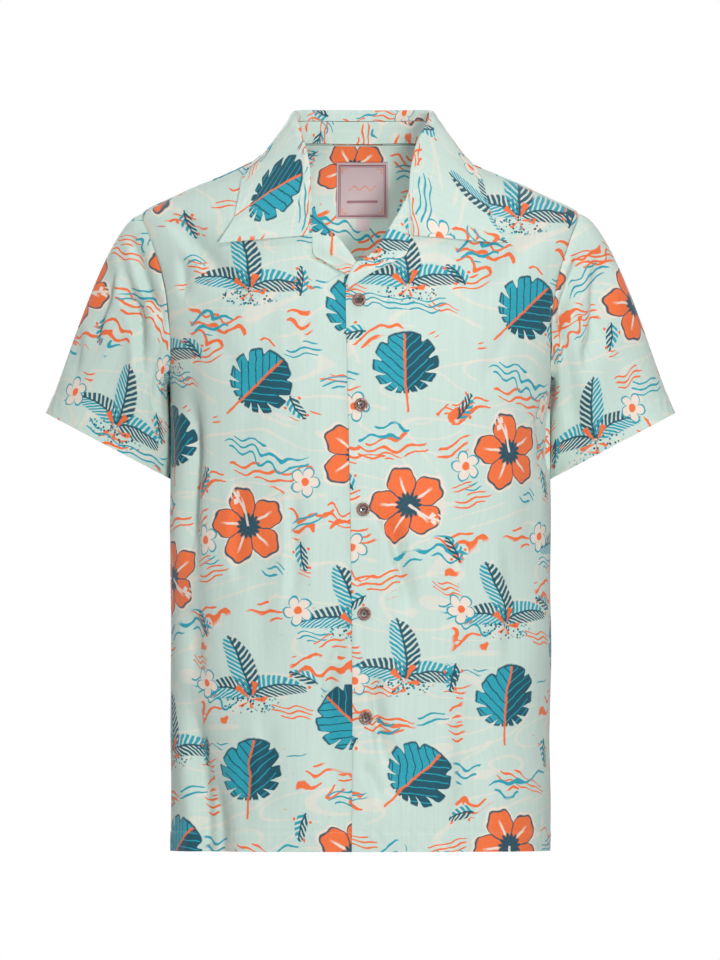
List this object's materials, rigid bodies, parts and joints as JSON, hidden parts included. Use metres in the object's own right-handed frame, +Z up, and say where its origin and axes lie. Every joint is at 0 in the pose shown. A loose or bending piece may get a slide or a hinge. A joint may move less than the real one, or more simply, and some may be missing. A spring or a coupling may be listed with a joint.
{
  "type": "hawaiian shirt",
  "caption": "Short-sleeved printed shirt with an open camp collar, buttoned front and yoke, filled out as worn with no wearer; hollow body, sleeves and neck",
  "frame": {"origin": "At the base of the neck, level with the back neck seam and in the middle of the shoulders, where the wearer carries the shirt", "axes": "+Z up the wearer's body, -Y is the way the fronts face, +X is the wearer's left"},
  "size_m": [0.695, 0.2811, 0.8167],
  "materials": {
    "printed_cloth": "matt woven cloth with a printed pattern",
    "woven_label": "smooth woven label",
    "coconut_shell": "polished coconut shell"
  },
  "bodies": {
    "root": {"front_left": "printed_cloth", "front_right": "printed_cloth", "back": "printed_cloth", "yoke": "printed_cloth", "yoke_inner": "printed_cloth", "sleeve_left": "printed_cloth", "sleeve_right": "printed_cloth", "collar_stand": "printed_cloth", "collar_leaf": "printed_cloth", "lapel_left": "printed_cloth", "lapel_right": "printed_cloth", "label": "woven_label", "size_tab": "woven_label", "button_1": "coconut_shell", "button_2": "coconut_shell", "button_3": "coconut_shell", "button_4": "coconut_shell", "button_5": "coconut_shell"}
  },
  "joints": []
}
